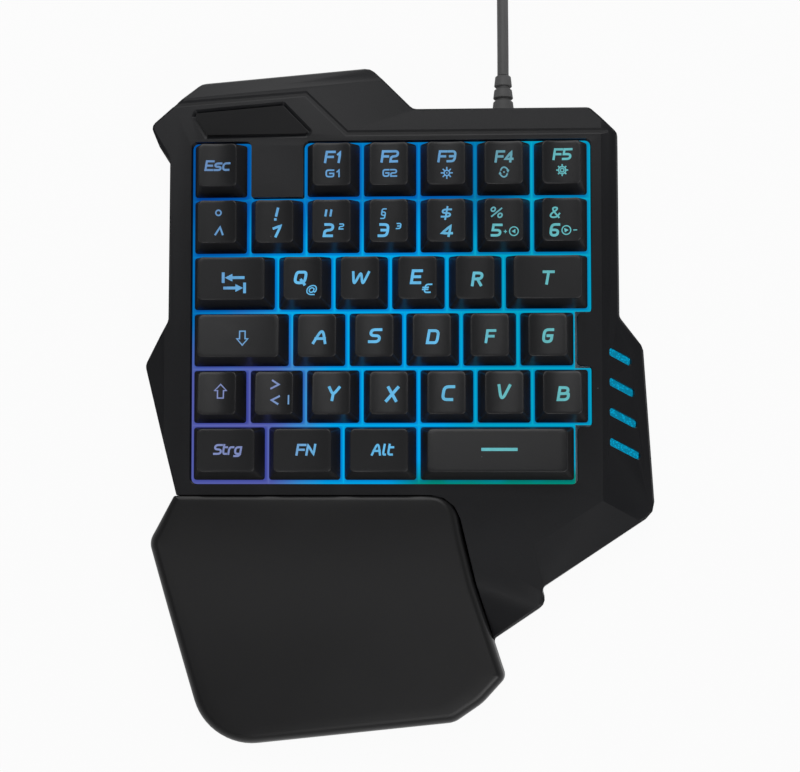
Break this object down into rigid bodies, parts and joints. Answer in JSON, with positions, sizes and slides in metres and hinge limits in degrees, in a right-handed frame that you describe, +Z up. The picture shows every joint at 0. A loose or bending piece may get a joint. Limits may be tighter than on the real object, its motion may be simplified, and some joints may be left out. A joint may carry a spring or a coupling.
{
  "type": "one-handed gaming keypad",
  "caption": "One-handed wired keypad with an angled case, sprung backlit keys over a dome sheet, lit side slots, a crowned palm rest and a coiled USB cable.",
  "frame": {"origin": "under the middle of the case, on the desk that its feet stand on", "axes": "+X to the right of the user, +Y from the palm rest to the cable, +Z up"},
  "size_m": [0.1726, 0.3466, 0.0308],
  "materials": {
    "case_plastic": "fine matt grain",
    "palm_plastic": "smooth matt",
    "keycap_plastic": "matt, lightly textured",
    "diffuser_plastic": "translucent",
    "dome_rubber": "soft matt",
    "membrane_film": "smooth film",
    "clear_acrylic": "clear, polished edges",
    "board_laminate": "solder mask",
    "badge_plastic": "gloss black",
    "spring_steel": "drawn wire",
    "screw_steel": "blackened",
    "foot_rubber": "matt",
    "cord_jacket": "matt moulded",
    "plug_steel": "nickel plated"
  },
  "bodies": {
    "case": {"top_shell": "case_plastic", "bottom_shell": "case_plastic", "palm_rest": "palm_plastic", "key_guide_plate": "diffuser_plastic", "dome_sheet": "dome_rubber", "membrane": "membrane_film", "light_guide_sheet": "clear_acrylic", "circuit_board": "board_laminate", "side_light_lens": "diffuser_plastic", "badge_plate": "badge_plastic", "strain_relief": "cord_jacket", "cable_run": "cord_jacket", "cable_coil": "cord_jacket", "usb_plug_body": "cord_jacket", "usb_plug_shell": "plug_steel", "foot_rear_left": "foot_rubber", "foot_rear_right": "foot_rubber", "foot_front_left": "foot_rubber", "foot_front_right": "foot_rubber", "screw_rear_left": "screw_steel", "screw_rear_right": "screw_steel", "screw_apron": "screw_steel", "screw_palm": "screw_steel"},
    "key_esc": {"key_esc": "keycap_plastic"},
    "key_f1": {"key_f1": "keycap_plastic"},
    "key_f2": {"key_f2": "keycap_plastic"},
    "key_f3": {"key_f3": "keycap_plastic"},
    "key_f4": {"key_f4": "keycap_plastic"},
    "key_f5": {"key_f5": "keycap_plastic"},
    "key_caret": {"key_caret": "keycap_plastic"},
    "key_1": {"key_1": "keycap_plastic"},
    "key_2": {"key_2": "keycap_plastic"},
    "key_3": {"key_3": "keycap_plastic"},
    "key_4": {"key_4": "keycap_plastic"},
    "key_5": {"key_5": "keycap_plastic"},
    "key_6": {"key_6": "keycap_plastic"},
    "key_tab": {"key_tab": "keycap_plastic"},
    "key_q": {"key_q": "keycap_plastic"},
    "key_w": {"key_w": "keycap_plastic"},
    "key_e": {"key_e": "keycap_plastic"},
    "key_r": {"key_r": "keycap_plastic"},
    "key_t": {"key_t": "keycap_plastic"},
    "key_caps": {"key_caps": "keycap_plastic"},
    "key_a": {"key_a": "keycap_plastic"},
    "key_s": {"key_s": "keycap_plastic"},
    "key_d": {"key_d": "keycap_plastic"},
    "key_f": {"key_f": "keycap_plastic"},
    "key_g": {"key_g": "keycap_plastic"},
    "key_shift": {"key_shift": "keycap_plastic"},
    "key_angle": {"key_angle": "keycap_plastic"},
    "key_y": {"key_y": "keycap_plastic"},
    "key_x": {"key_x": "keycap_plastic"},
    "key_c": {"key_c": "keycap_plastic"},
    "key_v": {"key_v": "keycap_plastic"},
    "key_b": {"key_b": "keycap_plastic"},
    "key_ctrl": {"key_ctrl": "keycap_plastic"},
    "key_fn": {"key_fn": "keycap_plastic"},
    "key_alt": {"key_alt": "keycap_plastic"},
    "key_space": {"key_space": "keycap_plastic"},
    "space_bar_wire": {"space_bar_wire": "spring_steel"}
  },
  "joints": [
    {"name": "key_esc_press", "type": "slide", "parent": "case", "child": "key_esc", "axis": [0, 0.0523, -0.9986], "range_m": [0, 0.0035], "stiffness_N_per_m": 120, "springref_m": -0.0035, "deforming": ["dome_sheet"]},
    {"name": "key_f1_press", "type": "slide", "parent": "case", "child": "key_f1", "axis": [0, 0.0523, -0.9986], "range_m": [0, 0.0035], "stiffness_N_per_m": 120, "springref_m": -0.0035, "deforming": ["dome_sheet"]},
    {"name": "key_f2_press", "type": "slide", "parent": "case", "child": "key_f2", "axis": [0, 0.0523, -0.9986], "range_m": [0, 0.0035], "stiffness_N_per_m": 120, "springref_m": -0.0035, "deforming": ["dome_sheet"]},
    {"name": "key_f3_press", "type": "slide", "parent": "case", "child": "key_f3", "axis": [0, 0.0523, -0.9986], "range_m": [0, 0.0035], "stiffness_N_per_m": 120, "springref_m": -0.0035, "deforming": ["dome_sheet"]},
    {"name": "key_f4_press", "type": "slide", "parent": "case", "child": "key_f4", "axis": [0, 0.0523, -0.9986], "range_m": [0, 0.0035], "stiffness_N_per_m": 120, "springref_m": -0.0035, "deforming": ["dome_sheet"]},
    {"name": "key_f5_press", "type": "slide", "parent": "case", "child": "key_f5", "axis": [0, 0.0523, -0.9986], "range_m": [0, 0.0035], "stiffness_N_per_m": 120, "springref_m": -0.0035, "deforming": ["dome_sheet"]},
    {"name": "key_caret_press", "type": "slide", "parent": "case", "child": "key_caret", "axis": [0, 0.0523, -0.9986], "range_m": [0, 0.0035], "stiffness_N_per_m": 120, "springref_m": -0.0035, "deforming": ["dome_sheet"]},
    {"name": "key_1_press", "type": "slide", "parent": "case", "child": "key_1", "axis": [0, 0.0523, -0.9986], "range_m": [0, 0.0035], "stiffness_N_per_m": 120, "springref_m": -0.0035, "deforming": ["dome_sheet"]},
    {"name": "key_2_press", "type": "slide", "parent": "case", "child": "key_2", "axis": [0, 0.0523, -0.9986], "range_m": [0, 0.0035], "stiffness_N_per_m": 120, "springref_m": -0.0035, "deforming": ["dome_sheet"]},
    {"name": "key_3_press", "type": "slide", "parent": "case", "child": "key_3", "axis": [0, 0.0523, -0.9986], "range_m": [0, 0.0035], "stiffness_N_per_m": 120, "springref_m": -0.0035, "deforming": ["dome_sheet"]},
    {"name": "key_4_press", "type": "slide", "parent": "case", "child": "key_4", "axis": [0, 0.0523, -0.9986], "range_m": [0, 0.0035], "stiffness_N_per_m": 120, "springref_m": -0.0035, "deforming": ["dome_sheet"]},
    {"name": "key_5_press", "type": "slide", "parent": "case", "child": "key_5", "axis": [0, 0.0523, -0.9986], "range_m": [0, 0.0035], "stiffness_N_per_m": 120, "springref_m": -0.0035, "deforming": ["dome_sheet"]},
    {"name": "key_6_press", "type": "slide", "parent": "case", "child": "key_6", "axis": [0, 0.0523, -0.9986], "range_m": [0, 0.0035], "stiffness_N_per_m": 120, "springref_m": -0.0035, "deforming": ["dome_sheet"]},
    {"name": "key_tab_press", "type": "slide", "parent": "case", "child": "key_tab", "axis": [0, 0.0523, -0.9986], "range_m": [0, 0.0035], "stiffness_N_per_m": 120, "springref_m": -0.0035, "deforming": ["dome_sheet"]},
    {"name": "key_q_press", "type": "slide", "parent": "case", "child": "key_q", "axis": [0, 0.0523, -0.9986], "range_m": [0, 0.0035], "stiffness_N_per_m": 120, "springref_m": -0.0035, "deforming": ["dome_sheet"]},
    {"name": "key_w_press", "type": "slide", "parent": "case", "child": "key_w", "axis": [0, 0.0523, -0.9986], "range_m": [0, 0.0035], "stiffness_N_per_m": 120, "springref_m": -0.0035, "deforming": ["dome_sheet"]},
    {"name": "key_e_press", "type": "slide", "parent": "case", "child": "key_e", "axis": [0, 0.0523, -0.9986], "range_m": [0, 0.0035], "stiffness_N_per_m": 120, "springref_m": -0.0035, "deforming": ["dome_sheet"]},
    {"name": "key_r_press", "type": "slide", "parent": "case", "child": "key_r", "axis": [0, 0.0523, -0.9986], "range_m": [0, 0.0035], "stiffness_N_per_m": 120, "springref_m": -0.0035, "deforming": ["dome_sheet"]},
    {"name": "key_t_press", "type": "slide", "parent": "case", "child": "key_t", "axis": [0, 0.0523, -0.9986], "range_m": [0, 0.0035], "stiffness_N_per_m": 120, "springref_m": -0.0035, "deforming": ["dome_sheet"]},
    {"name": "key_caps_press", "type": "slide", "parent": "case", "child": "key_caps", "axis": [0, 0.0523, -0.9986], "range_m": [0, 0.0035], "stiffness_N_per_m": 120, "springref_m": -0.0035, "deforming": ["dome_sheet"]},
    {"name": "key_a_press", "type": "slide", "parent": "case", "child": "key_a", "axis": [0, 0.0523, -0.9986], "range_m": [0, 0.0035], "stiffness_N_per_m": 120, "springref_m": -0.0035, "deforming": ["dome_sheet"]},
    {"name": "key_s_press", "type": "slide", "parent": "case", "child": "key_s", "axis": [0, 0.0523, -0.9986], "range_m": [0, 0.0035], "stiffness_N_per_m": 120, "springref_m": -0.0035, "deforming": ["dome_sheet"]},
    {"name": "key_d_press", "type": "slide", "parent": "case", "child": "key_d", "axis": [0, 0.0523, -0.9986], "range_m": [0, 0.0035], "stiffness_N_per_m": 120, "springref_m": -0.0035, "deforming": ["dome_sheet"]},
    {"name": "key_f_press", "type": "slide", "parent": "case", "child": "key_f", "axis": [0, 0.0523, -0.9986], "range_m": [0, 0.0035], "stiffness_N_per_m": 120, "springref_m": -0.0035, "deforming": ["dome_sheet"]},
    {"name": "key_g_press", "type": "slide", "parent": "case", "child": "key_g", "axis": [0, 0.0523, -0.9986], "range_m": [0, 0.0035], "stiffness_N_per_m": 120, "springref_m": -0.0035, "deforming": ["dome_sheet"]},
    {"name": "key_shift_press", "type": "slide", "parent": "case", "child": "key_shift", "axis": [0, 0.0523, -0.9986], "range_m": [0, 0.0035], "stiffness_N_per_m": 120, "springref_m": -0.0035, "deforming": ["dome_sheet"]},
    {"name": "key_angle_press", "type": "slide", "parent": "case", "child": "key_angle", "axis": [0, 0.0523, -0.9986], "range_m": [0, 0.0035], "stiffness_N_per_m": 120, "springref_m": -0.0035, "deforming": ["dome_sheet"]},
    {"name": "key_y_press", "type": "slide", "parent": "case", "child": "key_y", "axis": [0, 0.0523, -0.9986], "range_m": [0, 0.0035], "stiffness_N_per_m": 120, "springref_m": -0.0035, "deforming": ["dome_sheet"]},
    {"name": "key_x_press", "type": "slide", "parent": "case", "child": "key_x", "axis": [0, 0.0523, -0.9986], "range_m": [0, 0.0035], "stiffness_N_per_m": 120, "springref_m": -0.0035, "deforming": ["dome_sheet"]},
    {"name": "key_c_press", "type": "slide", "parent": "case", "child": "key_c", "axis": [0, 0.0523, -0.9986], "range_m": [0, 0.0035], "stiffness_N_per_m": 120, "springref_m": -0.0035, "deforming": ["dome_sheet"]},
    {"name": "key_v_press", "type": "slide", "parent": "case", "child": "key_v", "axis": [0, 0.0523, -0.9986], "range_m": [0, 0.0035], "stiffness_N_per_m": 120, "springref_m": -0.0035, "deforming": ["dome_sheet"]},
    {"name": "key_b_press", "type": "slide", "parent": "case", "child": "key_b", "axis": [0, 0.0523, -0.9986], "range_m": [0, 0.0035], "stiffness_N_per_m": 120, "springref_m": -0.0035, "deforming": ["dome_sheet"]},
    {"name": "key_ctrl_press", "type": "slide", "parent": "case", "child": "key_ctrl", "axis": [0, 0.0523, -0.9986], "range_m": [0, 0.0035], "stiffness_N_per_m": 120, "springref_m": -0.0035, "deforming": ["dome_sheet"]},
    {"name": "key_fn_press", "type": "slide", "parent": "case", "child": "key_fn", "axis": [0, 0.0523, -0.9986], "range_m": [0, 0.0035], "stiffness_N_per_m": 120, "springref_m": -0.0035, "deforming": ["dome_sheet"]},
    {"name": "key_alt_press", "type": "slide", "parent": "case", "child": "key_alt", "axis": [0, 0.0523, -0.9986], "range_m": [0, 0.0035], "stiffness_N_per_m": 120, "springref_m": -0.0035, "deforming": ["dome_sheet"]},
    {"name": "key_space_press", "type": "slide", "parent": "case", "child": "key_space", "axis": [0, 0.0523, -0.9986], "range_m": [0, 0.0035], "stiffness_N_per_m": 150, "springref_m": -0.004, "deforming": ["dome_sheet"]},
    {"name": "space_bar_wire_swing", "type": "hinge", "parent": "case", "child": "space_bar_wire", "pos_m": [0.03331, -0.02306, 0.01383], "axis": [1, 0, 0], "range_deg": [-19.2, 0]}
  ],
  "couplings": [
    {"joint": "space_bar_wire_swing", "follows": "key_space_press", "rad_per_m": -94.65}
  ]
}
